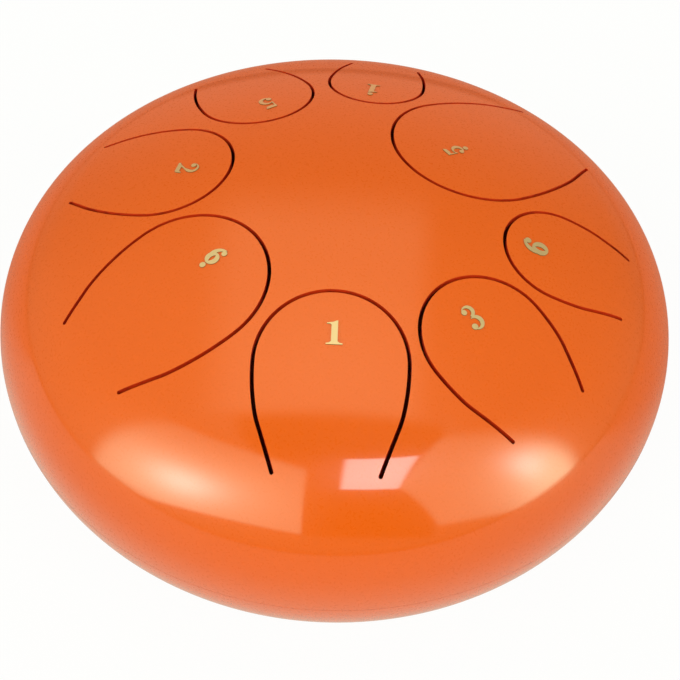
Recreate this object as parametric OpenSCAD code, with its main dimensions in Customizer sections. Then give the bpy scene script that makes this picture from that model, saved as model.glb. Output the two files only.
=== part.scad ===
// Steel tongue drum: two pressed steel halves welded at the rim, with eight tongues cut in the upper half.
// It stands on three rubber feet, with the middle of their footprint at the origin and its front towards -Y.

/* [Shell] */
// Diameter over the rim
drum_d = 204; // [190:1:230]
// Radius of the shallow dome in the middle of each half
dome_r = 236; // [220:1:300]
// Radius of the round shoulder between the dome and the rim
shoulder_r = 37.3; // [32:0.1:42]
// Thickness of the sheet steel
sheet_t = 1.8; // [1.2:0.1:2.2]

/* [Tongues] */
// Width of the cut round each tongue
slit_w = 1; // [0.8:0.1:1.6]
// Clearance at the root line, where a tongue bends
root_gap = 0.05; // [0.04:0.01:0.1]

/* [Sound hole] */
// Diameter of the round hole in the middle of the underside
hole_d = 40; // [25:1:60]

/* [Rim weld] */
// Width of the bead at the outside
weld_w = 3; // [2:0.1:4]
// Depth of the bead into the sheet
weld_depth = 1; // [0.6:0.1:1.1]

/* [Feet] */
// Diameter of a rubber foot
foot_d = 20; // [14:0.5:24]
// Height of the drum's lowest point over the table
foot_clear = 3; // [2:0.5:8]
// Distance of each foot's middle from the drum's axis
foot_ring_r = 48; // [44:1:60]
// Radius of the rounded edge where a foot meets the table
foot_edge_r = 1.5; // [0.5:0.1:2.5]
// Diameter of the dimple under a foot
dimple_d = 7; // [4:0.5:10]
// Depth of the dimple under a foot
dimple_depth = 1; // [0.5:0.1:1.5]
// Thickness of the glue on a foot
foot_glue = 0.1; // [0.05:0.01:0.2]

/* [Numbers] */
// Full height of a number
number_h = 7.1; // [5:0.1:9]
// Thickness of the gold sticker
number_t = 0.2; // [0.1:0.05:0.4]
// Thickness of the glue under a number
number_glue = 0.03; // [0.02:0.01:0.06]
// Diameter of the dot that marks a low or a high note
dot_d = 1.9; // [1.2:0.1:2.4]
// Space between a number and its dot
dot_gap = 0.3; // [0.2:0.05:0.6]

/* [Hidden] */
$fn = 200;

// How far every cut runs past what it cuts
over = 1;
// Step to which the outlines' lengths are rounded
grain = 0.01;
// How far the dome is let down, so that its arc crosses the shoulder's and doesn't just touch it
dome_drop = 0.02;
// How far inside the circle where the dome meets the shoulder a tongue's curved sides end
side_margin = 4;

function near(length) = round(length / grain) * grain;

// The shell's section: a dome arc that runs smoothly into a shoulder arc
rim_r = drum_d / 2;
shoulder_c = rim_r - shoulder_r;
dome_c = -near(sqrt(pow(dome_r - shoulder_r, 2) - pow(shoulder_c, 2)) + dome_drop);
half_h = dome_c + dome_r;
meet_share = shoulder_c / (dome_r - shoulder_r);
meet_r = dome_r * meet_share;
rim_z = foot_clear + half_h;
reach = drum_d;

// The tongues, anticlockwise from above, the front one first. Lengths are shares of the rim's radius.
// Direction of each tongue's middle line from the drum's axis, in degrees
tongue_angles = [-90, -50, -15, 31.5, 80, 120.5, 169, 221];
// Distance from the axis to the middle of the round head, where the tongue is widest
head_place_shares = [0.55, 0.59, 0.61, 0.45, 0.575, 0.535, 0.5, 0.495];
// Radius of the round head
head_radius_shares = [0.185, 0.17, 0.15, 0.24, 0.15, 0.175, 0.19, 0.21];
// Radius of the two flatter sides, which draw in towards the root
side_radius_shares = [0.55, 0.51, 0.49, 0.68, 0.41, 0.43, 0.53, 0.585];
// Distance of the root line from the axis
root_shares = [0.805, 0.81, 0.8, 0.77, 0.745, 0.735, 0.75, 0.78];

// The numbers, in the same order. Tops point to the drum's axis.
// Distance of a number's middle from the axis, and its offset to the side
number_place_shares = [0.48, 0.53, 0.545, 0.375, 0.525, 0.465, 0.435, 0.4];
number_side_shares = [0.005, 0, -0.01, -0.005, 0.005, -0.005, 0, -0.005];
// Height of each number, as a share of the full height
number_size_shares = [0.9, 1, 1, 0.85, 0.9, 1, 0.95, 0.85];

// The numerals' outlines, as shares of their height, from the middle of the foot line.
// A disc is its middle and its radius.
one_shares = [
    [-0.32, 0], [0.32, 0], [0.32, 0.05], [0.2, 0.07], [0.125, 0.13], [0.125, 1], [0.07, 1], [-0.05, 0.94],
    [-0.3, 0.9], [-0.31, 0.86], [-0.18, 0.86], [-0.125, 0.81], [-0.125, 0.13], [-0.2, 0.07], [-0.32, 0.05]
];
two_bowl_share = [0, 0.71, 0.29];
two_hollow_share = [-0.06, 0.7, 0.21];
two_keep_shares = [[-0.04, 0.7], [0.1, 0.55], [0.35, 0.55], [0.35, 1.05], [-0.35, 1.05], [-0.35, 0.84]];
two_ball_share = [-0.17, 0.72, 0.115];
two_slope_shares = [
    [0.04, 0.42], [-0.27, 0.07], [-0.25, 0.05], [-0.08, 0.15], [0, 0.27], [0.23, 0.52], [0.27, 0.62],
    [0.15, 0.7]
];
two_foot_shares = [
    [-0.31, 0], [0.26, 0], [0.31, 0.07], [0.34, 0.29], [0.29, 0.29], [0.22, 0.19], [-0.05, 0.2],
    [-0.22, 0.12], [-0.31, 0.1]
];
three_top_share = [0, 0.755, 0.245];
three_top_hollow_share = [-0.075, 0.755, 0.17];
three_top_ball_share = [-0.15, 0.8, 0.105];
three_low_share = [-0.01, 0.28, 0.28];
three_low_hollow_share = [-0.095, 0.28, 0.2];
three_low_ball_share = [-0.18, 0.18, 0.115];
three_keep_shares = [
    [-0.08, 0.76], [-0.03, 0.53], [-0.1, 0.5], [-0.1, 0.28], [-0.35, 0.14], [-0.35, -0.05], [0.35, -0.05],
    [0.35, 1.05], [-0.3, 1.05], [-0.3, 0.86]
];
five_flag_shares = [
    [-0.24, 0.45], [-0.18, 0.5], [-0.18, 0.83], [-0.05, 0.8], [0.2, 0.84], [0.27, 1], [0.2, 1.02],
    [-0.24, 0.98]
];
five_bowl_share = [0, 0.31, 0.31];
five_hollow_share = [-0.1, 0.32, 0.225];
five_keep_shares = [
    [-0.1, 0.32], [-0.35, 0.14], [-0.35, -0.05], [0.35, -0.05], [0.35, 0.65], [-0.21, 0.65], [-0.21, 0.5]
];
five_ball_share = [-0.19, 0.19, 0.12];
six_bowl_share = [0, 0.32, 0.32];
six_left_share = [0.22, 0.32, 0.3];
six_right_share = [-0.22, 0.32, 0.3];
six_back_share = [0.18, 0.5, 0.5];
six_hollow_share = [0.31, 0.51, 0.43];
six_keep_shares = [[-0.35, 0.34], [-0.15, 0.5], [0.05, 0.6], [0.19, 1.05], [-0.35, 1.05]];
six_ball_share = [0.19, 0.83, 0.125];

lacquer = [0.92, 0.41, 0.13];
steel = [0.55, 0.55, 0.57];
rubber = [0.08, 0.08, 0.08];
gold = [0.93, 0.8, 0.5];

// Section of the upper half, in the plane of radius and height, thinned by inset all round
module half_section(inset) {
    intersection() {
        translate([0, dome_c]) circle(r = dome_r - inset);
        square([near((dome_r - inset) * meet_share), reach]);
    }
    intersection() {
        translate([shoulder_c, 0]) circle(r = shoulder_r - inset);
        square(reach);
    }
}

// Section of the groove that takes the weld, widening outwards from its root
module weld_section() {
    mouth = weld_w / 2 * (weld_depth + over) / weld_depth;
    polygon([[rim_r - weld_depth, 0], [rim_r + over, -mouth], [rim_r + over, mouth]]);
}

// One pressed half, open side down, with its bevelled edge on the rim plane
module pressed_half() {
    rotate_extrude() difference() {
        half_section(0);
        half_section(sheet_t);
        weld_section();
    }
}

// Distance of tongue i's root line from the drum's axis
function root_place(i) = near(rim_r * root_shares[i]);

// A tongue's plan along +X, grown by grow all round but at the root: a round head, and two flatter side arcs.
// Each side runs straight from turn, just inside the circle where the dome meets the shoulder.
module tongue_plan(i, grow, root) {
    head_r = near(rim_r * head_radius_shares[i]);
    side_r = near(rim_r * side_radius_shares[i]);
    middle = near(rim_r * head_place_shares[i]);
    root_line = root_place(i);
    turn = near(min(sqrt(pow(meet_r - side_margin, 2) - pow(head_r + slit_w, 2)), root_line - over));
    turn_half = head_r - side_r + sqrt(pow(side_r, 2) - pow(turn - middle, 2));
    root_half = head_r - side_r + sqrt(pow(side_r, 2) - pow(root_line - middle, 2));
    taper = (turn_half - root_half) / (root_line - turn);
    rise = grow * sqrt(1 + pow(taper, 2));
    middle_edge = near(turn_half + taper * (turn - middle) + rise);
    root_edge = near(turn_half + taper * (turn - root) + rise);
    translate([middle, 0]) circle(r = head_r + grow);
    intersection() {
        translate([middle, head_r - side_r]) circle(r = side_r + grow);
        translate([middle, side_r - head_r]) circle(r = side_r + grow);
        polygon([[middle, -middle_edge], [root, -root_edge], [root, root_edge], [middle, middle_edge]]);
    }
}

// Upright prism over a tongue's plan
module tongue_prism(i, grow, root) {
    rotate([0, 0, tongue_angles[i]]) linear_extrude(half_h + over) tongue_plan(i, grow, root);
}

module top_shell() {
    color(lacquer) translate([0, 0, rim_z]) difference() {
        pressed_half();
        for (i = [0 : len(tongue_angles) - 1]) tongue_prism(i, slit_w / 2, root_place(i));
    }
}

module tongue(i) {
    color(lacquer) translate([0, 0, rim_z]) intersection() {
        pressed_half();
        tongue_prism(i, -slit_w / 2, root_place(i) - root_gap);
    }
}

module bottom_shell() {
    color(lacquer) translate([0, 0, rim_z]) difference() {
        mirror([0, 0, 1]) pressed_half();
        translate([0, 0, -half_h - over]) cylinder(d = hole_d, h = half_h);
    }
}

module rim_weld() {
    color(steel) translate([0, 0, rim_z]) rotate_extrude() intersection() {
        translate([shoulder_c, 0]) circle(r = shoulder_r);
        weld_section();
    }
}

// A foot stands on the table and is hollowed on top to fit the dome
module foot(angle) {
    foot_r = foot_d / 2;
    tall = foot_clear + half_h / 2;
    color(rubber) rotate([0, 0, angle]) difference() {
        translate([foot_ring_r, 0]) rotate_extrude() {
            translate([0, foot_edge_r]) square([foot_r, tall]);
            square([foot_r - foot_edge_r, foot_edge_r]);
            intersection() {
                translate([foot_r - foot_edge_r, foot_edge_r]) circle(r = foot_edge_r);
                translate([foot_r - foot_edge_r, 0]) square(foot_edge_r);
            }
        }
        translate([0, 0, foot_clear + dome_r]) sphere(r = dome_r + foot_glue);
        translate([foot_ring_r, 0, -over]) cylinder(d = dimple_d, h = dimple_depth + over);
    }
}

// Parts of a numeral, drawn to the named height
module disc(share) {
    translate(number_h * [share.x, share.y]) circle(r = number_h * share.z);
}

module plate(shares) {
    polygon(number_h * shares);
}

// A stroke that swells on one side: a disc less a disc, where the keep outline lets it show
module bowl(disc_share, hollow_share, keep_shares) {
    intersection() {
        difference() {
            disc(disc_share);
            disc(hollow_share);
        }
        plate(keep_shares);
    }
}

module numeral_1() {
    plate(one_shares);
}

module numeral_2() {
    bowl(two_bowl_share, two_hollow_share, two_keep_shares);
    disc(two_ball_share);
    plate(two_slope_shares);
    plate(two_foot_shares);
}

module numeral_3() {
    bowl(three_top_share, three_top_hollow_share, three_keep_shares);
    disc(three_top_ball_share);
    bowl(three_low_share, three_low_hollow_share, three_keep_shares);
    disc(three_low_ball_share);
}

module numeral_5() {
    plate(five_flag_shares);
    bowl(five_bowl_share, five_hollow_share, five_keep_shares);
    disc(five_ball_share);
}

module numeral_6() {
    difference() {
        disc(six_bowl_share);
        intersection() {
            disc(six_left_share);
            disc(six_right_share);
        }
    }
    bowl(six_back_share, six_hollow_share, six_keep_shares);
    disc(six_ball_share);
}

// A low note has a dot under its number, and a high note has one over it
module numeral_low_5() {
    numeral_5();
    low_dot();
}

module numeral_low_6() {
    numeral_6();
    low_dot();
}

module numeral_high_1() {
    numeral_1();
    high_dot();
}

module low_dot() {
    translate([0, -dot_gap - dot_d / 2]) circle(d = dot_d);
}

module high_dot() {
    translate([0, number_h + dot_gap + dot_d / 2]) circle(d = dot_d);
}

// A sticker on tongue i: its children's outline, cut from a thin layer that follows the dome
module number_sticker(i) {
    place = rim_r * number_place_shares[i] + number_h * number_size_shares[i] / 2;
    color(gold) translate([0, 0, rim_z]) difference() {
        intersection() {
            rotate([0, 0, tongue_angles[i] + 90]) translate([rim_r * number_side_shares[i], -place])
                linear_extrude(half_h + over) scale(number_size_shares[i]) children();
            translate([0, 0, dome_c]) sphere(r = dome_r + number_glue + number_t);
        }
        translate([0, 0, dome_c]) sphere(r = dome_r + number_glue);
    }
}

top_shell();
bottom_shell();
rim_weld();
foot(90);  // foot_1
foot(210);  // foot_2
foot(330);  // foot_3
tongue(0);  // tongue_1
tongue(1);  // tongue_3
tongue(2);  // tongue_6
tongue(3);  // tongue_low_5
tongue(4);  // tongue_high_1
tongue(5);  // tongue_5
tongue(6);  // tongue_2
tongue(7);  // tongue_low_6
number_sticker(0) numeral_1();  // number_1
number_sticker(1) numeral_3();  // number_3
number_sticker(2) numeral_6();  // number_6
number_sticker(3) numeral_low_5();  // number_low_5
number_sticker(4) numeral_high_1();  // number_high_1
number_sticker(5) numeral_5();  // number_5
number_sticker(6) numeral_2();  // number_2
number_sticker(7) numeral_low_6();  // number_low_6
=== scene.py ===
import math

import bpy
from bpy.props import FloatProperty, FloatVectorProperty, IntProperty, PointerProperty
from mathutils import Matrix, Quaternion, Vector


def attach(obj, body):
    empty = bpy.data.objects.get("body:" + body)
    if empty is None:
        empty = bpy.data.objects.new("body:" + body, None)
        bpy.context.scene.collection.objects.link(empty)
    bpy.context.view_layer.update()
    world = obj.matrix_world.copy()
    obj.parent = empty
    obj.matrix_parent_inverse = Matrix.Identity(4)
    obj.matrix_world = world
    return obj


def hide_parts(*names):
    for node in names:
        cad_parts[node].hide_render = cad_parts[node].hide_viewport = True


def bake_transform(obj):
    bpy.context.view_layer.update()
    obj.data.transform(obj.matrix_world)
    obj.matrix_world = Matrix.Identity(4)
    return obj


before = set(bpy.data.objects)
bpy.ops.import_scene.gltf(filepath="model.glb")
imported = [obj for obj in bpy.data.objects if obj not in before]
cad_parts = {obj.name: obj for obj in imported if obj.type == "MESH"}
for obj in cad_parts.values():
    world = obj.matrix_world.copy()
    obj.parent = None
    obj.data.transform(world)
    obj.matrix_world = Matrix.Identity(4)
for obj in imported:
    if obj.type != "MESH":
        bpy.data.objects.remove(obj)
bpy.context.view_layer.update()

bl_info = {
    "name": "Steel tongue drum",
    "version": (1, 0, 0),
    "blender": (4, 5, 0),
    "location": "3D View > Sidebar > Drum",
    "description": "Models and finishes a lacquered steel tongue drum over its solids",
    "category": "Mesh",
}

MM = 0.001
LAP = 0.02 * MM  # the dome's centre lies this much lower than an exact run into the shoulder needs
MERGE = 0.001 * MM  # points of a section that lie closer than this become one
PLAN_MERGE = 0.005 * MM  # the same for a tongue's plan
SKIN_CREASE = math.radians(30)  # an edge of the steel that bends less is shaded smooth
FOOT_CREASE = math.radians(40)  # the same for a foot
NOTES = ("1", "3", "6", "low_5", "high_1", "5", "2", "low_6")
FEET = ("foot_1", "foot_2", "foot_3")
AXIS_Y = (0, 1, 0)
AXIS_Z = (0, 0, 1)


def size(name, text, default):
    """A length, in metres."""
    return FloatProperty(name=name, description=text, default=default, min=0, unit="LENGTH", precision=5)


def count(name, text, default, low, high):
    """A number of segments."""
    return IntProperty(name=name, description=text, default=default, min=low, max=high)


def share(name, text, default):
    """A number from 0 to 1."""
    return FloatProperty(name=name, description=text, default=default, min=0, max=1, subtype="FACTOR")


def paint(name, text, default):
    """A colour."""
    return FloatVectorProperty(
        name=name, description=text, default=default, size=3, min=0, max=1, subtype="COLOR"
    )


def each_tongue(name, text, default):
    """One number for each tongue."""
    return FloatVectorProperty(name=name, description=text, default=default, size=len(NOTES))


class DrumSizes(bpy.types.PropertyGroup):
    """Sizes of the pressed steel body"""

    rim_radius: size("Rim radius", "Radius of the drum over its rim", 0.102)
    dome_radius: size("Dome radius", "Radius of the shallow dome in the middle of each half", 0.236)
    shoulder_radius: size("Shoulder radius", "Radius of the round shoulder between dome and rim", 0.0373)
    sheet: size("Sheet", "Thickness of the sheet steel", 0.0018)
    foot_clearance: size("Foot clearance", "Height of the drum's lowest point over the table", 0.003)
    hole_radius: size("Sound hole radius", "Radius of the round hole in the underside", 0.02)
    weld_width: size("Weld width", "Width of the weld bead at the outside", 0.003)
    weld_depth: size("Weld depth", "Depth of the weld bead into the sheet", 0.001)
    foot_radius: size("Foot radius", "Radius of a rubber foot", 0.01)
    foot_ring: size("Foot ring", "Distance of each foot's middle from the drum's axis", 0.048)
    foot_edge: size("Foot edge", "Radius of the rounded edge where a foot meets the table", 0.0015)
    dimple_radius: size("Dimple radius", "Radius of the dimple under a foot", 0.0035)
    dimple_depth: size("Dimple depth", "Depth of the dimple under a foot", 0.001)
    turns: count("Turns", "Segments round the drum", 240, 48, 400)
    dome_steps: count("Dome steps", "Segments along the dome", 20, 6, 60)
    shoulder_steps: count("Shoulder steps", "Segments along the shoulder", 30, 8, 80)
    bead_steps: count("Bead steps", "Segments across the weld bead", 4, 2, 12)
    hole_turns: count("Hole turns", "Segments round the sound hole", 128, 32, 256)
    foot_turns: count("Foot turns", "Segments round a foot", 64, 16, 128)
    foot_edge_steps: count("Foot edge steps", "Segments round a foot's edge", 8, 2, 16)


class TongueLayout(bpy.types.PropertyGroup):
    """Places and outlines of the eight tongues, the front one first, anticlockwise from above"""

    directions: each_tongue(
        "Directions", "Direction of each tongue's middle line, in degrees",
        (-90, -50, -15, 31.5, 80, 120.5, 169, 221),
    )
    head_places: each_tongue(
        "Head places", "Distance from the axis to a tongue's widest place, as shares of the rim's radius",
        (0.55, 0.59, 0.61, 0.45, 0.575, 0.535, 0.5, 0.495),
    )
    head_radii: each_tongue(
        "Head radii", "Radius of the round head, as shares of the rim's radius",
        (0.185, 0.17, 0.15, 0.24, 0.15, 0.175, 0.19, 0.21),
    )
    side_radii: each_tongue(
        "Side radii", "Radius of the flatter sides, as shares of the rim's radius",
        (0.55, 0.51, 0.49, 0.68, 0.41, 0.43, 0.53, 0.585),
    )
    roots: each_tongue(
        "Roots", "Distance of the root line from the axis, as shares of the rim's radius",
        (0.805, 0.81, 0.8, 0.77, 0.745, 0.735, 0.75, 0.78),
    )
    slit: size("Cut width", "Width of the cut round each tongue", 0.001)
    bend: size("Bend", "Length over which a tongue bends at its root", 0.004)
    ease: size("Ease", "Radius with which each side runs into its straight end", 0.024)
    head_steps: count("Head steps", "Segments round a head", 56, 12, 120)
    side_steps: count("Side steps", "Segments along a side", 20, 6, 60)
    ease_steps: count("Ease steps", "Segments where a side runs into its straight end", 8, 2, 30)
    lobe_steps: count("Lobe steps", "Segments round the end of a cut", 10, 4, 40)


class DrumFinish(bpy.types.PropertyGroup):
    """Colours and surface of the lacquer, the foil, the rubber and the inside"""

    lacquer: paint("Lacquer", "Colour of the lacquer", (0.875, 0.12, 0.002))
    # Painted shade: the lacquer takes this darker colour towards the rim and below, where less light falls.
    lacquer_painted_shade: paint("Deep lacquer", "Colour of the lacquer where it lies thicker", (0.715, 0.087, 0.002))
    haze: share("Haze", "Roughness under the clear gloss", 0.28)
    gloss: share("Gloss", "Roughness of the clear gloss", 0.035)
    peel: size("Orange peel", "Height of the waves in the lacquer, under the clear gloss", 0.000002)
    # Painted shade: both colours of the cut edges are darker reds than the lacquer, standing in for the shade
    # inside the narrow cuts.
    cut_edge_painted_shade: paint("Cut edges", "Colour of the edges in the cuts, where light is trapped", (0.66, 0.03, 0.001))
    cut_edge_drops_painted_shade: paint("Cut edge drops", "Colour where lacquer has gathered there", (0.42, 0.014, 0.001))
    foil: paint("Foil", "Colour of the gold numbers", (1.0, 0.81, 0.52))
    foil_worn: paint("Worn foil", "Colour of the numbers where they are rubbed", (0.9, 0.64, 0.3))
    # Painted shade: the numbers' sides are given this dark colour.
    foil_edge_painted_shade: paint("Foil edge", "Colour of the numbers' edges", (0.2, 0.1, 0.03))
    rubber: paint("Rubber", "Colour of the feet", (0.018, 0.018, 0.019))
    rubber_scuff: paint("Scuffed rubber", "Colour of the feet where they are scuffed", (0.06, 0.058, 0.055))
    inside: paint("Inside steel", "Colour of the bare steel inside", (0.12, 0.1, 0.09))
    overspray: paint("Overspray", "Colour of the lacquer mist inside", (0.7, 0.06, 0.004))


class StudioSetup(bpy.types.PropertyGroup):
    """Camera, floor and the light of the room"""

    eye: FloatVectorProperty(
        name="Camera place", description="Where the camera stands", size=3, unit="LENGTH",
        default=(0.00256, -0.17693, 0.25178),
    )
    gaze: FloatVectorProperty(
        name="Camera direction", description="Direction in which the camera looks",
        size=3, subtype="DIRECTION", default=(-0.003207, 0.623555, -0.781773),
    )
    roll: FloatProperty(
        name="Camera roll", description="Turn of the camera about its own axis",
        default=0.0364, unit="ROTATION",
    )
    lens: FloatProperty(
        name="Lens", description="Focal length of the lens, in millimetres",
        default=44.27, min=10, unit="CAMERA",
    )
    floor_width: size("Floor width", "Width of the pale floor", 8)
    floor_tone: share("Floor tone", "Lightness of the floor", 0.9)
    lift: share("Floor lift", "How far the camera sees the floor lifted to white", 0.94)
    # Painted reflection: strength of the glowing table that gloss and glass see in place of the floor.
    mirrored: share("Mirrored floor", "Strength of the floor as gloss and glass show it", 0.3)
    brightness: FloatProperty(
        name="Room light", description="Brightness of the whole room", default=1, min=0
    )


# Painted reflection: the glowing table that gloss and glass mirror, in shares of StudioSetup.mirrored.
# Behind and beside the drum it glows in the drum's own orange.
PAINTED_TABLE_FRONT = (2.25, 1.7, 1.42)
PAINTED_ORANGE_BOUNCE = (2.0, 0.28, 0.06)

# The room's panels: corners in degrees from straight up, to the side and to the back, and the softness in
# degrees of the edge after each corner
LEFT_BOX = ((-9, -74), (-5, -24), (-19, -13), (-32, -7), (-86, -36), (-66, -57)), (1, 3, 3, 4, 6, 2)
RIGHT_BOX = ((20, -3), (18, -37), (39, -66), (74, -55), (98, -33)), (1.5, 1.5, 3, 5, 5)
WINDOW = ((3, -15), (3, -38), (18, -38), (18, -15)), (1, 1, 1, 1)
WALL = ((20, -1), (-17, -1), (-9, -75), (40, -75)), (1.5, 2, 2, 2)
CEILING = ((15, 0), (15, 44), (-21, 44), (-21, 0)), (3, 8, 5, 1.5)
CEILING_LEFT = ((-15, -5), (-15, 44), (-70, 44), (-90, -25)), (8, 20, 20, 6)

# The glows within the two softboxes: middle, direction of the length, half length and half width, in degrees
LEFT_GLOW = (-50, -42), 0, 30, 22
LEFT_CORE = (-43, -44), 0, 12, 10
RIGHT_GLOW = (74, -33), -32, 26, 18
RIGHT_CORE = (56, -29), -32, 13, 6

# How bright a softbox is: towards its foot, in its glow, all over, and in its core
LEFT_LEVELS = 1.15, 2.1, 0.35, 4.0
RIGHT_LEVELS = 0.4, 3.4, 0.7, 3.9

# How bright the other parts of the room are
WINDOW_LEVEL = 5.4
FRONT_LEVEL = 0.32
CROWN_LEVEL = 0.3
FAR_LEVEL = 0.33
CEILING_LEVEL = 0.5
CEILING_LEFT_LEVEL = 0.12
WALL_LEVEL = 0.02
WALL_DIMMING = 0.92
HORIZON_LEVEL = 0.4

# Red, green and blue of each kind of light. The far side adds red alone.
ROOM_TINT = (1.13, 0.97, 0.6)
FAR_TINT = (1.1, 0.0, 0.0)
BOX_TINT = (0.84, 1.1, 0.74)
CORE_TINT = (0.9, 1.0, 1.0)


def rim_height(sizes):
    """Height of the rim plane over the table."""
    return sizes.foot_clearance + sizes.dome_radius + dome_middle(sizes)


def shoulder_middle(sizes):
    """Distance of the shoulder's centre from the axis."""
    return sizes.rim_radius - sizes.shoulder_radius


def dome_middle(sizes):
    """Height of the dome's centre over the rim plane: below it, so negative."""
    between = sizes.dome_radius - sizes.shoulder_radius
    return -math.sqrt(between**2 - shoulder_middle(sizes) ** 2) - LAP


def deselect():
    """Leaves edit mode and deselects everything."""
    if bpy.context.object and bpy.context.object.mode != "OBJECT":
        bpy.ops.object.mode_set(mode="OBJECT")
    bpy.ops.object.select_all(action="DESELECT")


def pick(*objects):
    """Selects these objects alone, the first one active."""
    deselect()
    for obj in objects:
        obj.select_set(True)
    bpy.context.view_layer.objects.active = objects[0]


def edit(obj):
    """Goes into edit mode with every vertex selected."""
    pick(obj)
    bpy.ops.object.mode_set(mode="EDIT")
    bpy.ops.mesh.select_mode(type="VERT")
    bpy.ops.mesh.select_all(action="SELECT")


def start_line(name, place):
    """A plane merged to one vertex at place, in edit mode, from which a section is drawn."""
    deselect()
    bpy.ops.mesh.primitive_plane_add(size=MM)
    obj = bpy.context.object
    obj.name = name
    obj.data.name = name
    edit(obj)
    bpy.ops.mesh.merge(type="CENTER")
    bpy.ops.transform.translate(value=place)
    return obj


def arc(centre, angle, steps, axis=AXIS_Y):
    """Carries the line on along an arc. A positive angle turns by the right hand about axis."""
    bpy.ops.mesh.spin(steps=steps, angle=-angle, center=centre, axis=axis, use_auto_merge=False)


def straight(step):
    """Carries the line, or the whole plan, straight on."""
    bpy.ops.mesh.extrude_region_move(TRANSFORM_OT_translate={"value": step})


def merge_doubles(distance=MERGE):
    """Merges what lies within distance and leaves everything selected."""
    bpy.ops.mesh.select_all(action="SELECT")
    bpy.ops.mesh.remove_doubles(threshold=distance)
    bpy.ops.mesh.select_all(action="SELECT")


def turn_section(steps):
    """Spins the section in edit mode once round the drum's axis and closes it."""
    merge_doubles()
    bpy.ops.mesh.spin(steps=steps, angle=2 * math.pi, center=(0, 0, 0), axis=AXIS_Z)
    close_up()


def close_up():
    """Closes a shape's seams, turns its faces outwards and leaves edit mode."""
    merge_doubles()
    bpy.ops.mesh.normals_make_consistent(inside=False)
    bpy.ops.object.mode_set(mode="OBJECT")


def settle(obj):
    """Puts an object's place and turn into its mesh."""
    pick(obj)
    bpy.ops.object.transform_apply(location=True, rotation=True, scale=True)


def swing(obj, degrees):
    """Turns an object about the drum's axis."""
    obj.rotation_euler = (0, 0, math.radians(degrees))
    settle(obj)


def cut(obj, tool, operation="DIFFERENCE"):
    """Cuts obj with tool, or keeps what both share, and raises if nothing is left."""
    pick(obj)
    modifier = obj.modifiers.new("cut", "BOOLEAN")
    modifier.operation = operation
    modifier.solver = "EXACT"
    modifier.object = tool
    bpy.ops.object.modifier_apply(modifier=modifier.name)
    if not obj.data.polygons:
        raise RuntimeError(obj.name + " came out empty")


def remove(obj):
    """Deletes an object and its mesh."""
    mesh = obj.data
    bpy.data.objects.remove(obj)
    bpy.data.meshes.remove(mesh)


def copy_of(obj, name):
    """A copy with its own mesh."""
    twin = obj.copy()
    twin.data = obj.data.copy()
    twin.name = name
    twin.data.name = name
    bpy.context.collection.objects.link(twin)
    return twin


def weld_groove(sizes):
    """The weld's groove in the rim: the height of its mouth over the rim plane, the radius there, the radius of
    its bottom, and the angle to the mouth at the shoulder's centre."""
    slope = sizes.weld_width / 2 / sizes.weld_depth
    mouth_radius = sizes.rim_radius
    rounds = 20  # far more than it takes to settle
    for _ in range(rounds):
        mouth = slope * (mouth_radius - sizes.rim_radius + sizes.weld_depth)
        mouth_radius = shoulder_middle(sizes) + math.sqrt(sizes.shoulder_radius**2 - mouth**2)
    bottom_radius = sizes.rim_radius - sizes.weld_depth
    return mouth, mouth_radius, bottom_radius, math.asin(mouth / sizes.shoulder_radius)


def spun_half(sizes):
    """The upper half: a dome and a shoulder with their inner side, down to the bevelled edge, spun about the
    axis."""
    across = shoulder_middle(sizes)
    middle = dome_middle(sizes)
    rim = rim_height(sizes)
    meet = math.asin(across / (sizes.dome_radius - sizes.shoulder_radius))
    down = math.radians(90) - meet
    mouth, mouth_radius, bottom_radius, mouth_angle = weld_groove(sizes)
    inner_radius = sizes.rim_radius - sizes.sheet
    obj = start_line("half", (0, 0, rim + sizes.dome_radius + middle))
    arc((0, 0, rim + middle), meet, sizes.dome_steps)
    arc((across, 0, rim), down - mouth_angle, sizes.shoulder_steps)
    straight((bottom_radius - mouth_radius, 0, -mouth))
    straight((inner_radius - bottom_radius, 0, 0))
    arc((across, 0, rim), -down, sizes.shoulder_steps // 2)
    arc((0, 0, rim + middle), -meet, sizes.dome_steps // 2)
    turn_section(sizes.turns)
    return obj


def spun_weld(sizes):
    """The weld bead: a ring that fills the groove, flush with both halves."""
    rim = rim_height(sizes)
    mouth, mouth_radius, bottom_radius, mouth_angle = weld_groove(sizes)
    obj = start_line("rim_weld_bead", (mouth_radius, 0, rim + mouth))
    arc((shoulder_middle(sizes), 0, rim), 2 * mouth_angle, sizes.bead_steps)
    straight((bottom_radius - mouth_radius, 0, mouth))
    straight((mouth_radius - bottom_radius, 0, mouth))
    turn_section(sizes.turns)
    return obj


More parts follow.
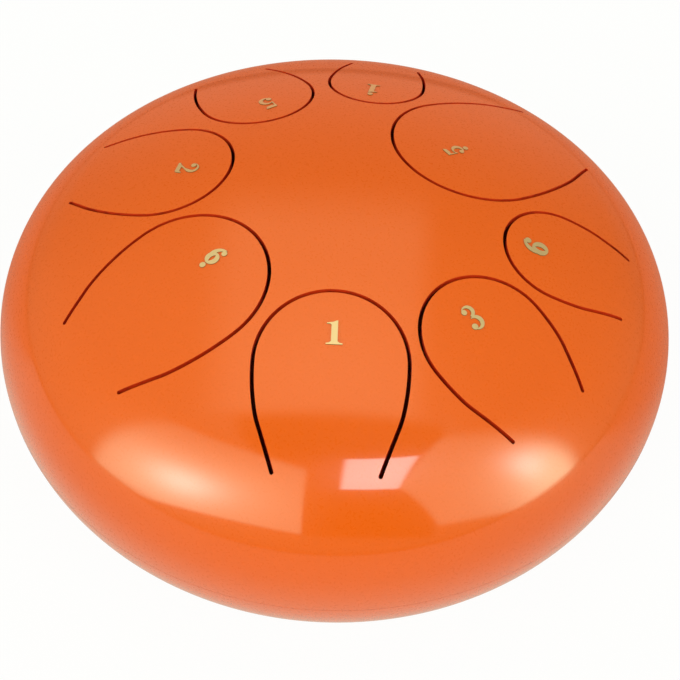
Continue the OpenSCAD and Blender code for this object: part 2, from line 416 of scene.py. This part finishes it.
def tongue_prism(sizes, layout, i, grow):
    """An upright prism over one tongue's plan, grown by grow round the head and along the sides. A round head
    runs into two flatter sides, and each of these eases into a straight end. A grown plan ends in a round lobe
    beyond each corner of the root, as the cut does."""
    inside_dome = 4 * MM  # the straight ends start this far within the dome's edge
    rim = sizes.rim_radius
    head = rim * layout.head_radii[i]
    side = rim * layout.side_radii[i]
    middle = rim * layout.head_places[i]
    root = rim * layout.roots[i]
    dome_edge = sizes.dome_radius * shoulder_middle(sizes) / (sizes.dome_radius - sizes.shoulder_radius)
    reach = math.sqrt((dome_edge - inside_dome) ** 2 - (head + layout.slit) ** 2)
    turn = min(reach, root - MM)
    turn_half = head - side + math.sqrt(side**2 - (turn - middle) ** 2)
    root_half = head - side + math.sqrt(side**2 - (root - middle) ** 2)
    slope = math.atan2(turn_half - root_half, root - turn)
    ease = layout.ease + grow
    across = turn * math.sin(slope) + turn_half * math.cos(slope) + grow
    centre = middle * math.sin(slope) + (head - side) * math.cos(slope)
    sweep = math.acos(min(1, (across - ease - centre) / (side + grow - ease)))
    bend = slope - sweep
    ease_x = middle + (side + grow - ease) * math.sin(bend)
    ease_y = head - side + (side + grow - ease) * math.cos(bend)
    last = (ease_x + ease * math.sin(slope), ease_y + ease * math.cos(slope))
    obj = start_line("plan", (last[0], last[1], rim_height(sizes)))
    arc((ease_x, ease_y, 0), sweep, layout.ease_steps, AXIS_Z)
    arc((middle, head - side, 0), bend, layout.side_steps, AXIS_Z)
    arc((middle, 0, 0), math.pi, layout.head_steps, AXIS_Z)
    arc((middle, side - head, 0), bend, layout.side_steps, AXIS_Z)
    arc((ease_x, -ease_y, 0), sweep, layout.ease_steps, AXIS_Z)
    if grow > 0:
        end = (root + grow * math.sin(slope), root_half + grow * math.cos(slope))
        straight((end[0] - last[0], last[1] - end[1], 0))
        arc((root, -root_half, 0), math.pi - slope, layout.lobe_steps, AXIS_Z)
        straight((0, 2 * (root_half - grow), 0))
        arc((root, root_half, 0), math.pi - slope, layout.lobe_steps, AXIS_Z)
    else:
        end = (root, root_half + grow / math.cos(slope))
        straight((end[0] - last[0], last[1] - end[1], 0))
        straight((0, 2 * end[1], 0))
    straight((last[0] - end[0], last[1] - end[1], 0))
    merge_doubles(PLAN_MERGE)
    bpy.ops.mesh.edge_face_add()
    over_dome = sizes.dome_radius / 4
    straight((0, 0, over_dome))
    close_up()
    swing(obj, layout.directions[i])
    return obj


def skin_normal(sizes, point, inset):
    """Distance of point from the shell's surface, thinned by inset, and the true normal there."""
    across = shoulder_middle(sizes)
    flat = math.hypot(point.x, point.y)
    height = point.z - rim_height(sizes)
    sign = 1 if height >= 0 else -1
    edge = (sizes.dome_radius - inset) * across / (sizes.dome_radius - sizes.shoulder_radius)
    if flat < edge:
        out, up = flat, abs(height) - dome_middle(sizes)
        radius = sizes.dome_radius - inset
    else:
        out, up = flat - across, abs(height)
        radius = sizes.shoulder_radius - inset
    length = math.hypot(out, up)
    on_axis = 0.000001 * MM
    if flat < on_axis:
        return length - radius, Vector((0, 0, sign))
    return length - radius, Vector((point.x / flat * out, point.y / flat * out, sign * up)) / length


def dress_skin(obj, sizes, finishes):
    """Gives the outer and inner skins their true normals, so that cuts leave no dents in the gloss. The outer
    skin takes the first finish, the inner one the second and the cut edges the third."""
    slack = 0.03 * MM  # a face belongs to a skin if its corners are this near to it
    facing = 0.8  # and its normal points this nearly along the skin's
    pick(obj)
    bpy.ops.object.shade_smooth_by_angle(angle=SKIN_CREASE)
    mesh = obj.data
    for material in finishes:
        mesh.materials.append(material)
    outer = [skin_normal(sizes, v.co, 0) for v in mesh.vertices]
    inner = [skin_normal(sizes, v.co, sizes.sheet) for v in mesh.vertices]
    normals = [(0, 0, 0)] * len(mesh.loops)
    for face in mesh.polygons:
        face.material_index = len(finishes) - 1
        for slot, (skin, way) in enumerate(((outer, 1), (inner, -1))):
            if all(abs(skin[v][0]) < slack for v in face.vertices):
                if face.normal.dot(skin[face.vertices[0]][1]) * way > facing:
                    for loop in face.loop_indices:
                        normals[loop] = skin[mesh.loops[loop].vertex_index][1] * way
                    face.material_index = min(slot, len(finishes) - 1)
    mesh.normals_split_custom_set(normals)


class Value:
    """A shader socket with arithmetic that adds Math nodes."""

    def __init__(self, nodes, socket):
        self.nodes = nodes
        self.socket = socket

    def math(self, operation, *values):
        """A Math node on this value and the others."""
        return self.nodes.maths(operation, self, *values)

    def __add__(self, other):
        return self.math("ADD", other)

    def __sub__(self, other):
        return self.math("SUBTRACT", other)

    def __mul__(self, other):
        return self.math("MULTIPLY", other)

    def __truediv__(self, other):
        return self.math("DIVIDE", other)

    def __rsub__(self, other):
        return self.nodes.maths("SUBTRACT", other, self)

    def __rtruediv__(self, other):
        return self.nodes.maths("DIVIDE", other, self)

    __radd__ = __add__
    __rmul__ = __mul__

    def ramp(self, low, high):
        """0 below low, 1 above high, straight between them."""
        return self.nodes.ramp(self, low, high, "LINEAR")

    def swell(self, low, high):
        """0 below low, 1 above high, with a smooth start and end between them."""
        return self.nodes.ramp(self, low, high, "SMOOTHSTEP")


class Nodes:
    """A node tree that is filled one node at a time."""

    def __init__(self, tree):
        self.tree = tree
        tree.nodes.clear()

    def add(self, kind, settings=None, inputs=None, output=0):
        """Adds a node, sets its settings, then sets or links its inputs, and returns one of its outputs."""
        made = self.tree.nodes.new(kind)
        for key, value in (settings or {}).items():
            setattr(made, key, value)
        for key, value in (inputs or {}).items():
            if isinstance(value, Value):
                self.tree.links.new(value.socket, made.inputs[key])
            else:
                made.inputs[key].default_value = value
        return Value(self, made.outputs[output]) if made.outputs else None

    def maths(self, operation, *values):
        """A Math node on values or numbers."""
        return self.add("ShaderNodeMath", {"operation": operation}, dict(enumerate(values)))

    def ramp(self, value, low, high, kind):
        """A Map Range node to the range from 0 to 1."""
        return self.add(
            "ShaderNodeMapRange", {"interpolation_type": kind}, {0: value, 1: low, 2: high, 3: 0.0, 4: 1.0}
        )

    def place(self):
        """Where a point of the surface lies, in metres."""
        return self.add("ShaderNodeTexCoord", output="Object")

    def split(self, vector):
        """The three parts of a vector."""
        node = self.add("ShaderNodeSeparateXYZ", None, {0: vector}).socket.node
        return [Value(self, socket) for socket in node.outputs]

    def ray(self, kind):
        """1 where the surface is seen by rays of this kind."""
        return self.add("ShaderNodeLightPath", output=f"Is {kind} Ray")

    def noise(self, place, per_metre, detail=2.0, roughness=0.5):
        """Noise with the given number of waves in a metre."""
        inputs = {"Vector": place, "Scale": per_metre, "Detail": detail, "Roughness": roughness}
        return self.add("ShaderNodeTexNoise", None, inputs)

    def mix(self, share, first, second):
        """Mixes two colours."""
        first, second = (c if isinstance(c, Value) else (*c, 1.0) for c in (first, second))
        return self.add("ShaderNodeMix", {"data_type": "RGBA"}, {0: share, 6: first, 7: second}, output=2)

    def bump(self, height, distance):
        """A normal pushed about by height, whose full range stands distance metres proud."""
        return self.add("ShaderNodeBump", None, {"Height": height, "Distance": distance, "Strength": 1.0})

    def glowing(self, colour):
        """A surface that shines with this colour."""
        return self.add("ShaderNodeEmission", None, {"Color": colour, "Strength": 1.0})

    def blend(self, share, first, second):
        """Mixes two shaders."""
        return self.add("ShaderNodeMixShader", None, {0: share, 1: first, 2: second})

    def shade(self, **inputs):
        """Ends the tree with the main shader."""
        named = {
            key.replace("_", " ").title().replace("Ior", "IOR"): value for key, value in inputs.items()
        }
        shader = self.add("ShaderNodeBsdfPrincipled", None, named)
        self.add("ShaderNodeOutputMaterial", None, {"Surface": shader})


def new_material(name):
    """An empty material and its nodes."""
    material = bpy.data.materials.new(name)
    material.use_nodes = True
    return material, Nodes(material.node_tree)


def lacquer_finish(look):
    """Glossy orange lacquer: painted shade makes it darker and deeper red towards the rim and below, with a
    fine mottle and, under its clear coat, the waves of orange peel."""
    material, nodes = new_material("orange_lacquer_gloss")
    place = nodes.place()
    unshaded = nodes.split(place)[2].swell(0.06, 0.1)
    mottle = nodes.noise(place, per_metre=1400.0, detail=1.0)
    peel = nodes.noise(place, per_metre=480.0, detail=0.0)
    uneven = 0.05
    nodes.shade(
        # Painted shade: the lacquer's own colour at the crown, going over to a darker red towards the rim and
        # over the lower half.
        base_color=nodes.mix(unshaded * 0.7 + mottle * 0.2, look.lacquer_painted_shade, look.lacquer),
        roughness=mottle * uneven + (look.haze - uneven / 2),
        ior=1.5, specular_ior_level=0.3, coat_weight=1.0, coat_roughness=look.gloss, coat_ior=1.6,
        normal=nodes.bump(peel, look.peel),
    )
    return material


def edge_finish(look):
    """The sheet's edges in the cuts, in a deep red darker than the lacquer, which is painted shade for the
    narrow cuts, with drops where lacquer has gathered.
    """
    material, nodes = new_material("cut_edge_shaded_lacquer")
    place = nodes.place()
    ripple = nodes.noise(place, per_metre=1500.0, roughness=0.6)
    drops = nodes.noise(place, per_metre=300.0, detail=3.0, roughness=0.6).ramp(0.5, 0.75)
    nodes.shade(
        # Painted shade: the edges take darker reds than the lacquer outside, with random drops darker still.
        base_color=nodes.mix(drops, look.cut_edge_painted_shade, look.cut_edge_drops_painted_shade),
        roughness=0.4 + ripple * 0.25, ior=1.5, normal=nodes.bump(ripple, 0.01 * MM),
    )
    return material


def inside_finish(look):
    """The shell's inside: dull grey steel with a mist of lacquer that blew in through the cuts and the hole."""
    material, nodes = new_material("inside_overspray")
    place = nodes.place()
    speckle = nodes.noise(place, per_metre=1800.0, roughness=0.7)
    drifts = nodes.noise(place, per_metre=45.0, detail=4.0, roughness=0.6)
    mist = (drifts * 0.6 + speckle * 0.5).ramp(0.25, 0.62)
    nodes.shade(
        base_color=nodes.mix(mist, look.inside, look.overspray),
        roughness=0.75 - mist * 0.2, metallic=0.35 - mist * 0.35, normal=nodes.bump(speckle, 0.02 * MM),
    )
    return material


def foil_finish(look):
    """Gold foil: a bright top with a fine rolled grain, and sides painted dark, as shade at the numbers' edges.
    """
    material, nodes = new_material("gold_foil_print")
    place = nodes.place()
    facing = nodes.add("ShaderNodeNewGeometry", output="Normal")
    top = nodes.split(facing)[2].ramp(0.45, 0.75)
    grain = nodes.noise(place, per_metre=2400.0, roughness=0.6)
    wear = nodes.noise(place, per_metre=420.0, detail=3.0, roughness=0.6).ramp(0.62, 0.78)
    bright = nodes.mix(grain * 0.2 + wear * 0.3, look.foil, look.foil_worn)
    nodes.shade(
        # Painted shade: faces that turn away from straight up take the dark edge colour and lose their metal.
        base_color=nodes.mix(top, look.foil_edge_painted_shade, bright),
        metallic=top * 0.8, roughness=0.3 + grain * 0.12 + wear * 0.1, normal=nodes.bump(grain, 0.004 * MM),
    )
    return material


def rubber_finish(look):
    """Moulded black rubber: matt, with a fine pitted grain and paler scuffs."""
    material, nodes = new_material("moulded_rubber")
    place = nodes.place()
    grain = nodes.noise(place, per_metre=1600.0, detail=3.0, roughness=0.6)
    scuff = nodes.noise(place, per_metre=160.0, detail=4.0, roughness=0.65).ramp(0.55, 0.75)
    nodes.shade(
        base_color=nodes.mix(scuff * 0.6 + grain * 0.15, look.rubber, look.rubber_scuff),
        roughness=0.62 + grain * 0.25, normal=nodes.bump(grain, 0.06 * MM),
    )
    return material


def skin_finishes(look):
    """The finishes of the steel: outside, inside and in the cuts. Each is made once."""
    return [
        bpy.data.materials.get(name) or maker(look)
        for name, maker in (
            ("orange_lacquer_gloss", lacquer_finish),
            ("inside_overspray", inside_finish),
            ("cut_edge_shaded_lacquer", edge_finish),
        )
    ]


class DRUM_OT_shell(bpy.types.Operator):
    """Spin the two pressed halves, cut the tongues' windows, the tongues and the sound hole"""

    bl_idname = "drum.shell"
    bl_label = "Shell and tongues"

    def execute(self, context):
        scene = context.scene
        sizes, layout, look = scene.drum_sizes, scene.drum_tongues, scene.drum_finish
        skins = skin_finishes(look)
        top = spun_half(sizes)
        bottom = copy_of(top, "bottom_shell_skin")
        flaps = copy_of(top, "flaps")
        windows = [tongue_prism(sizes, layout, i, layout.slit / 2) for i in range(len(NOTES))]
        pick(*windows)
        bpy.ops.object.join()
        cut(top, windows[0])
        remove(windows[0])
        prisms = [tongue_prism(sizes, layout, i, -layout.slit / 2) for i in range(len(NOTES))]
        for i, note in enumerate(NOTES):
            flap = copy_of(flaps, "tongue_" + note + "_skin")
            cut(flap, prisms[i], "INTERSECT")
            remove(prisms[i])
            dress_skin(flap, sizes, skins)
            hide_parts("tongue_" + note)
            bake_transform(flap)
        remove(flaps)
        top.name = top.data.name = "top_shell_skin"
        dress_skin(top, sizes, skins)
        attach(top, "shell")
        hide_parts("top_shell")

        edit(bottom)
        rim = rim_height(sizes)
        bpy.ops.transform.mirror(
            orient_type="GLOBAL", constraint_axis=(False, False, True), center_override=(0, 0, rim)
        )
        close_up()
        through = 20 * MM
        bpy.ops.mesh.primitive_cylinder_add(
            vertices=sizes.hole_turns, radius=sizes.hole_radius, depth=through,
            location=(0, 0, sizes.foot_clearance),
        )
        drill = context.object
        cut(bottom, drill)
        remove(drill)
        dress_skin(bottom, sizes, skins)
        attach(bottom, "shell")
        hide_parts("bottom_shell")
        return {"FINISHED"}


class DRUM_OT_weld(bpy.types.Operator):
    """Spin the weld bead that joins the halves, ground flush and lacquered over"""

    bl_idname = "drum.weld"
    bl_label = "Rim weld"

    def execute(self, context):
        sizes = context.scene.drum_sizes
        bead = spun_weld(sizes)
        dress_skin(bead, sizes, skin_finishes(context.scene.drum_finish)[:1])
        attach(bead, "shell")
        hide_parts("rim_weld")
        return {"FINISHED"}


class DRUM_OT_feet(bpy.types.Operator):
    """Spin one rubber foot, hollow its top to the dome, and set three of them on their ring"""

    bl_idname = "drum.feet"
    bl_label = "Rubber feet"

    def execute(self, context):
        sizes = context.scene.drum_sizes
        rubber = rubber_finish(context.scene.drum_finish)
        edge = sizes.foot_edge
        tall = 14 * MM  # of the blank, before its top is hollowed
        slant = 0.3 * MM  # of the dimple's side
        glue = 0.1 * MM
        foot = start_line("foot", (0, 0, sizes.dimple_depth))
        straight((sizes.dimple_radius - slant, 0, 0))
        straight((slant, 0, -sizes.dimple_depth))
        straight((sizes.foot_radius - edge - sizes.dimple_radius, 0, 0))
        arc((sizes.foot_radius - edge, 0, edge), math.radians(-90), sizes.foot_edge_steps)
        straight((0, 0, tall - edge))
        straight((-sizes.foot_radius, 0, 0))
        turn_section(sizes.foot_turns)
        deselect()
        bpy.ops.mesh.primitive_uv_sphere_add(
            segments=256, ring_count=400, radius=sizes.dome_radius + glue,
            location=(-sizes.foot_ring, 0, sizes.foot_clearance + sizes.dome_radius),
        )
        dome = context.object
        cut(foot, dome)
        remove(dome)
        pick(foot)
        bpy.ops.object.shade_smooth_by_angle(angle=FOOT_CREASE)
        foot.data.materials.clear()
        foot.data.materials.append(rubber)
        for i, name in enumerate(FEET):
            pad = copy_of(foot, name + "_rubber")
            pad.location = (sizes.foot_ring, 0, 0)
            settle(pad)
            swing(pad, 90 + 120 * i)
            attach(pad, "shell")
            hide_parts(name)
        remove(foot)
        return {"FINISHED"}


class DRUM_OT_numbers(bpy.types.Operator):
    """Lay gold foil on the numbers"""

    bl_idname = "drum.numbers"
    bl_label = "Gold numbers"

    def execute(self, context):
        foil = foil_finish(context.scene.drum_finish)
        for note in NOTES:
            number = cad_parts["number_" + note]
            for slot in number.material_slots:
                slot.material = foil
            if not number.material_slots:
                raise RuntimeError(number.name + " has no material slot")
        return {"FINISHED"}


class DRUM_OT_studio(bpy.types.Operator):
    """Set up the camera, the pale floor and the softly lit room"""

    bl_idname = "drum.studio"
    bl_label = "Studio"

    def execute(self, context):
        scene = context.scene
        studio = scene.drum_studio
        scene.view_settings.view_transform = "Standard"
        deselect()
        bpy.ops.object.camera_add(location=studio.eye)
        camera = context.object
        camera.name = "camera"
        camera.data.lens = studio.lens
        camera.data.sensor_width = 36
        camera.data.clip_start = 0.01
        camera.rotation_mode = "QUATERNION"
        aim = Vector(studio.gaze).to_track_quat("-Z", "Y")
        camera.rotation_quaternion = aim @ Quaternion(AXIS_Z, studio.roll)
        scene.camera = camera

        bpy.ops.mesh.primitive_grid_add(x_subdivisions=8, y_subdivisions=8, size=studio.floor_width)
        floor = context.object
        floor.name = "floor"
        floor.data.materials.append(self.floor_finish(studio))
        self.room(scene, studio)
        return {"FINISHED"}

    def floor_finish(self, studio):
        """A pale floor, which the camera sees lifted to white and which keeps the drum's shadow. In gloss and
        glass it shows as a dim table, as the drum's rim mirrors one, which is a painted reflection that glows:
        a warm grey in front of the drum, and beside and behind it the drum's own orange, painted on as light
        the drum throws there."""
        material, nodes = new_material("pale_floor")
        tone = studio.floor_tone
        lit = nodes.add(
            "ShaderNodeBsdfPrincipled", None, {"Base Color": (tone, tone, tone, 1), "Roughness": 0.7}
        )
        x, y, _ = nodes.split(nodes.place())
        aslant = 0.13  # the line between front and back runs a little aslant
        behind = (y + x * aslant).swell(-0.07, 0.05)
        away = (x * x + y * y).math("SQRT").swell(0.14, 0.24)
        # Painted reflection: share of the orange glow, full behind the drum and partly beside it.
        orange = behind + (1.0 - behind) * away * 0.35
        painted_front_tint, painted_bounce_tint = (
            tuple(studio.mirrored * level for level in tint) for tint in (PAINTED_TABLE_FRONT, PAINTED_ORANGE_BOUNCE)
        )
        # Painted reflection: the table glows with these colours for gloss and glass alone.
        table = nodes.glowing(nodes.mix(orange, painted_front_tint, painted_bounce_tint))
        seen = nodes.blend(nodes.ray("Camera") * studio.lift, lit, nodes.glowing((1, 1, 1, 1)))
        mirrored = (nodes.ray("Glossy") + nodes.ray("Transmission")) * 0.8
        nodes.add("ShaderNodeOutputMaterial", None, {"Surface": nodes.blend(mirrored, seen, table)})
        return material

    def room(self, scene, studio):
        """A softly lit room round the drum: a ceiling, a softbox on either side of the camera, a small window
        and the dark wall behind the camera. All are laid out on the sky by their angle from straight up, to the
        side and to the back, in degrees."""
        world = bpy.data.worlds.new("room")
        scene.world = world
        world.use_nodes = True
        nodes = Nodes(world.node_tree)
        x, y, z = nodes.split(nodes.add("ShaderNodeTexCoord", output="Generated"))
        tiny = 0.0001  # keeps the division good straight up
        flat = (x * x + y * y).math("SQRT").math("MAXIMUM", tiny)
        steep = z.math("MINIMUM", 1.0).math("MAXIMUM", -1.0).math("ARCCOSINE") * math.degrees(1)
        spread = steep / flat
        side, back = x * spread, y * spread

        def panel(corners, softness):
            """A panel with the given corners, anticlockwise, and the softness of the edge after each."""
            inside = 1.0
            for k, ((x0, y0), soft) in enumerate(zip(corners, softness)):
                x1, y1 = corners[(k + 1) % len(corners)]
                long = math.hypot(x1 - x0, y1 - y0)
                a, b = (y0 - y1) / long, (x1 - x0) / long
                within = (side * a + back * b - (a * x0 + b * y0)).swell(-soft, soft)
                inside = within if k == 0 else inside * within
            return inside

        def glow(middle, along, wide, tall):
            """A round or long glow about middle, whose length points along the given angle."""
            c, s = math.cos(math.radians(along)), math.sin(math.radians(along))
            u = (side - middle[0]) * (c / wide) + (back - middle[1]) * (s / wide)
            v = (side - middle[0]) * (-s / tall) + (back - middle[1]) * (c / tall)
            return (u * u + v * v).math("MULTIPLY", -1.0).math("EXPONENT")

        def softbox(shape, glow_place, core_place, levels):
            """The light of a softbox, and that of its core."""
            foot, inner, whole, core = levels
            lit = shape * (low * foot + glow(*glow_place) * inner + whole)
            return lit, shape * glow(*core_place) * core

        left, right, window = panel(*LEFT_BOX), panel(*RIGHT_BOX), panel(*WINDOW)
        wall = panel(*WALL) * (1.0 - left) * (1.0 - right)
        low = 1.0 - back.swell(-80, 20)
        left_light, left_core = softbox(left, LEFT_GLOW, LEFT_CORE, LEFT_LEVELS)
        right_light, right_core = softbox(right, RIGHT_GLOW, RIGHT_CORE, RIGHT_LEVELS)
        boxes = left_light + right_light
        cores = left_core + right_core + window * WINDOW_LEVEL
        front = (1.0 - back.swell(12, 92)) * FRONT_LEVEL
        crown = (1.0 - steep.swell(5, 30)) * CROWN_LEVEL
        far = back.swell(40, 85) * FAR_LEVEL
        ceiling = panel(*CEILING) * CEILING_LEVEL + panel(*CEILING_LEFT) * CEILING_LEFT_LEVEL
        room = (front + crown + far) * (1.0 - wall * WALL_DIMMING) + ceiling + wall * wall * WALL_LEVEL
        over_horizon = z.swell(0.0, 0.05) * (1.0 - HORIZON_LEVEL) + HORIZON_LEVEL
        strength = over_horizon * studio.brightness
        ray = nodes.ray("Camera")
        channels = {}
        for k, channel in enumerate(("Red", "Green", "Blue")):
            level = room * ROOM_TINT[k] + far * FAR_TINT[k] + boxes * BOX_TINT[k] + cores * CORE_TINT[k]
            channels[channel] = level * strength * (1.0 - ray) + ray
        colour = nodes.add("ShaderNodeCombineColor", None, channels)
        shown = nodes.add("ShaderNodeBackground", None, {"Color": colour, "Strength": 1.0})
        nodes.add("ShaderNodeOutputWorld", None, {"Surface": shown})


class DRUM_PT_panel(bpy.types.Panel):
    """Lists the steps that build the drum"""

    bl_label = "Tongue drum"
    bl_idname = "DRUM_PT_panel"
    bl_space_type = "VIEW_3D"
    bl_region_type = "UI"
    bl_category = "Drum"

    def draw(self, context):
        column = self.layout.column()
        for step in STEPS:
            column.operator(step.bl_idname)
        for key, group in GROUPS.items():
            box = self.layout.box()
            for setting in group.__annotations__:
                box.prop(getattr(context.scene, key), setting)


STEPS = (DRUM_OT_shell, DRUM_OT_weld, DRUM_OT_feet, DRUM_OT_numbers, DRUM_OT_studio)
GROUPS = {
    "drum_sizes": DrumSizes,
    "drum_tongues": TongueLayout,
    "drum_finish": DrumFinish,
    "drum_studio": StudioSetup,
}


def register():
    """Makes the settings, the steps and the panel known to Blender."""
    for made in (*GROUPS.values(), *STEPS, DRUM_PT_panel):
        bpy.utils.register_class(made)
    for key, group in GROUPS.items():
        setattr(bpy.types.Scene, key, PointerProperty(type=group))


def unregister():
    """Takes the settings, the steps and the panel away again."""
    for key in GROUPS:
        delattr(bpy.types.Scene, key)
    for made in (DRUM_PT_panel, *reversed(STEPS), *reversed(GROUPS.values())):
        bpy.utils.unregister_class(made)


def main():
    """Builds the drum and the studio."""
    register()
    for step in STEPS:
        group, name = step.bl_idname.split(".")
        getattr(getattr(bpy.ops, group), name)()
    deselect()


if __name__ == "__main__":
    main()
